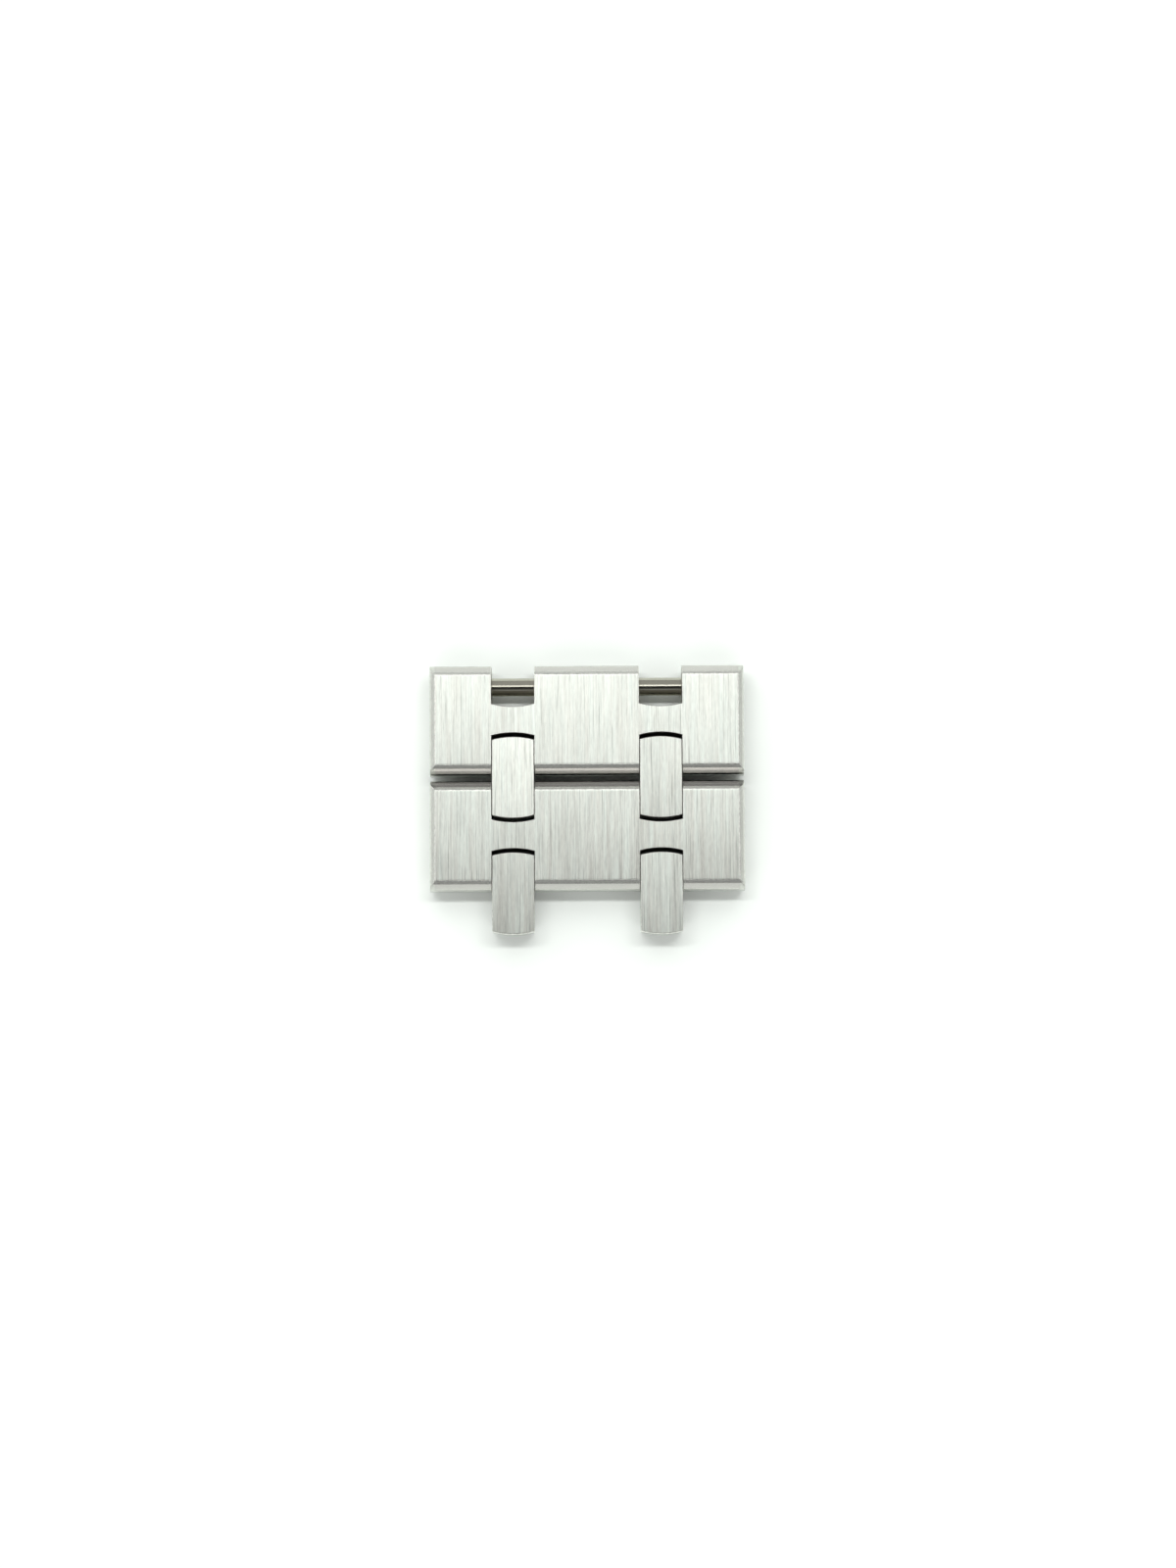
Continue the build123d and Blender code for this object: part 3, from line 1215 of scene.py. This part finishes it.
@dataclass
class Studio:
    """The floor, the soft light over the bracelet and the camera.

    Radiances and levels are brightnesses, where 1 is white.
    """

    floor_half: float = 1.5
    floor_lines: int = 41
    floor_sink: float = 0.002 * MM
    floor_roughness: float = 0.9
    floor_tone: tuple = (0.8, 0.82, 0.805)
    floor_seen_tone: tuple = (1.03, 1.08, 1.035)
    floor_white_between: tuple = (0.03, 0.1)
    rise_between: tuple = (-0.1, 0.3)
    front_levels: tuple = ((0, 0.34), (0.22, 0.28), (0.4, 0.46), (0.7, 0.42), (0.9, 0.05), (1, 0))
    back_level: float = 0.52
    side_lift: float = 0.19
    side_lean: float = -0.15
    softbox_height: float = 0.3
    softbox_near: float = 0.0275
    softbox_far: float = 0.092
    softbox_half_width: float = 0.25
    softbox_radiance: float = 2.35
    key_tilt: float = math.radians(12.5)
    key_distance: float = 0.3
    key_size: tuple = (0.24, 0.022)
    key_radiance: float = 20.5
    fill_radiance: float = 0.85
    fill_distance: float = 0.36
    fill_size: tuple = (0.8, 0.4)
    camera_tilt: float = math.radians(4.8)
    camera_distance: float = 0.22
    camera_roll: float = math.radians(-0.3)
    camera_aim: tuple = (0.06 * MM, 1.0 * MM, 1.45 * MM)
    lens: float = 83.2
    sensor_width: float = 36.0
    clip_between: tuple = (1 * MM, 10.0)

    def add_floor(self) -> None:
        """Adds the floor: a flat sheet, pale and matt, that the camera sees white."""
        line = np.linspace(-self.floor_half, self.floor_half, self.floor_lines)
        x, y = np.meshgrid(line, line, indexing="ij")
        draft = MeshDraft()
        draft.grid(np.stack([x, y, 0 * x], axis=-1), Zone.BRUSHED, close=False)
        floor = draft.build("studio_floor", Vector((0, 0, -self.floor_sink)))
        floor.data.materials.append(self.floor_finish())

    def floor_finish(self) -> bpy.types.Material:
        """Makes the floor's finish: matt, and paler where the camera or the metal sees it.

        Away from the bracelet it goes smoothly over to plain white there.

        Returns:
            The finished material.
        """
        sheet = FinishSheet("pale_floor")
        sheet.metal.inputs["Roughness"].default_value = self.floor_roughness
        sheet.metal.inputs["Specular IOR Level"].default_value = 0.0
        path = sheet.tree.nodes.new("ShaderNodeLightPath").outputs
        seen = sheet.maths("MAXIMUM", path["Is Camera Ray"], path["Is Glossy Ray"])
        sheet.feed(sheet.blend(seen, self.floor_tone, self.floor_seen_tone), "Base Color")
        length = sheet.node("ShaderNodeVectorMath", {0: sheet.place}, operation="LENGTH")
        inputs = {0: length.outputs["Value"]} | dict(enumerate(self.floor_white_between, 1))
        away = sheet.node("ShaderNodeMapRange", inputs, interpolation_type="SMOOTHSTEP")
        white = sheet.node("ShaderNodeEmission", {})
        share = sheet.maths("MULTIPLY", away.outputs[0], seen)
        inputs = {0: share, 1: sheet.metal.outputs[0], 2: white.outputs[0]}
        mixed = sheet.node("ShaderNodeMixShader", inputs)
        output = sheet.tree.nodes["Material Output"]
        sheet.tree.links.new(mixed.outputs[0], output.inputs["Surface"])
        return sheet.material

    def add_world(self) -> None:
        """Lights the scene softly: dimmest in front and overhead, paler at the back and sides.

        The front's level follows the direction's height. From there the level rises smoothly
        with Y to the back's, and then by shares of X and its square. The camera sees it white.
        """
        world = bpy.data.worlds.new("soft_room")
        bpy.context.scene.world = world
        world.use_nodes = True
        sheet = NodeSheet(world.node_tree)
        ground = sheet.tree.nodes["Background"]
        ground.inputs["Color"].default_value = WHITE
        direction = sheet.tree.nodes.new("ShaderNodeTexCoord").outputs["Generated"]
        x, y, z = sheet.node("ShaderNodeSeparateXYZ", {0: direction}).outputs
        front = sheet.curve(z, self.front_levels)
        inputs = dict(enumerate((y, *self.rise_between, front, self.back_level)))
        rise = sheet.node("ShaderNodeMapRange", inputs, interpolation_type="SMOOTHSTEP")
        lift = sheet.maths("MULTIPLY_ADD", x, self.side_lift, self.side_lean)
        level = sheet.maths("MULTIPLY_ADD", x, lift, rise.outputs[0])
        seen = sheet.tree.nodes.new("ShaderNodeLightPath").outputs["Is Camera Ray"]
        pick = sheet.node("ShaderNodeMix", {0: seen, NUMBER_A: level, NUMBER_B: 1.0})
        sheet.tree.links.new(pick.outputs[0], ground.inputs["Strength"])

    def add_panel(
        self, name: str, place: Vector, size: tuple, radiance: float, metal_sees: bool
    ) -> None:
        """Adds a soft panel that faces the bracelet, and lights either the metal or the floor.

        Its power is its radiance times pi times its area.

        Args:
            name: The lamp's name.
            place: The panel's middle.
            size: Its width along X and its other side.
            radiance: How bright its surface is.
            metal_sees: Whether the metal reflects it. If not, it lights the matt floor.
        """
        lamp = bpy.data.lights.new(name, "AREA")
        lamp.shape = "RECTANGLE"
        lamp.size, lamp.size_y = size
        lamp.energy = radiance * math.pi * size[0] * size[1]
        panel = bpy.data.objects.new(name, lamp)
        panel.location = place
        panel.rotation_mode = "QUATERNION"
        panel.rotation_quaternion = place.to_track_quat("Z", "Y")
        panel.visible_glossy = metal_sees
        panel.visible_diffuse = not metal_sees
        bpy.context.scene.collection.objects.link(panel)

    def add_lights(self) -> None:
        """Adds the overhead softbox for the metal, and a key and two fills for the floor.

        The softbox starts a little behind the zenith, so that the tops go from bright at the
        back to darker in front. The key gives the thin shadow in front of each link.
        """
        middle = (self.softbox_near + self.softbox_far) / 2
        size = (2 * self.softbox_half_width, self.softbox_far - self.softbox_near)
        place = Vector((0, middle, self.softbox_height))
        self.add_panel("overhead_softbox", place, size, self.softbox_radiance, True)
        back = Vector((0, math.sin(self.key_tilt), math.cos(self.key_tilt)))
        place = back * self.key_distance
        self.add_panel("floor_key", place, self.key_size, self.key_radiance, False)
        for way in Way:
            place = Vector((0, way.value * self.fill_distance, self.fill_distance))
            name = f"{way.name.lower()}_fill"
            self.add_panel(name, place, self.fill_size, self.fill_radiance, False)

    def add_camera(self) -> None:
        """Adds the camera, nearly overhead and a little to the front, as in the photograph."""
        lens = bpy.data.cameras.new("overhead_camera")
        lens.lens = self.lens
        lens.sensor_width = self.sensor_width
        lens.clip_start, lens.clip_end = self.clip_between
        camera = bpy.data.objects.new("overhead_camera", lens)
        back = Vector((0, -math.sin(self.camera_tilt), math.cos(self.camera_tilt)))
        camera.rotation_mode = "QUATERNION"
        level = back.to_track_quat("Z", "Y")
        camera.rotation_quaternion = level @ Quaternion((0, 0, 1), self.camera_roll)
        camera.location = Vector(self.camera_aim) + back * self.camera_distance
        bpy.context.scene.collection.objects.link(camera)
        bpy.context.scene.camera = camera
        bpy.context.scene.view_settings.view_transform = "Standard"

    def build(self) -> None:
        """Adds the floor, the lights and the camera."""
        self.add_floor()
        self.add_world()
        self.add_lights()
        self.add_camera()


def main() -> None:
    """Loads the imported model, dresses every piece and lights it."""
    logging.basicConfig(level=logging.INFO, format="%(name)s: %(message)s")
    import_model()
    finishes = Finishes()
    # Tones differ between pieces; the middle connectors' 0.76 and 0.66 are painted light, for how
    # their slight tilts catch the light.
    pieces = [
        WideLink("wide_link_rear", "rear_link", tone=0.64, seed=1.0),
        WideLink("wide_link_front", "front_link", tone=0.69, seed=2.0),
        Connector("middle_connector_left", "middle_connector_left", tone=0.76, seed=3.0),
        Connector("middle_connector_right", "middle_connector_right", tone=0.66, seed=4.0),
        Connector("front_connector_left", "front_connector_left", tone=0.72, seed=5.0),
        Connector("front_connector_right", "front_connector_right", tone=0.74, seed=6.0),
        AxleSet("front"),
        AxleSet("rear"),
    ]
    for piece in pieces:
        piece.build(finishes)
    Studio().build()
    bpy.context.view_layer.update()


if __name__ == "__main__":
    main()
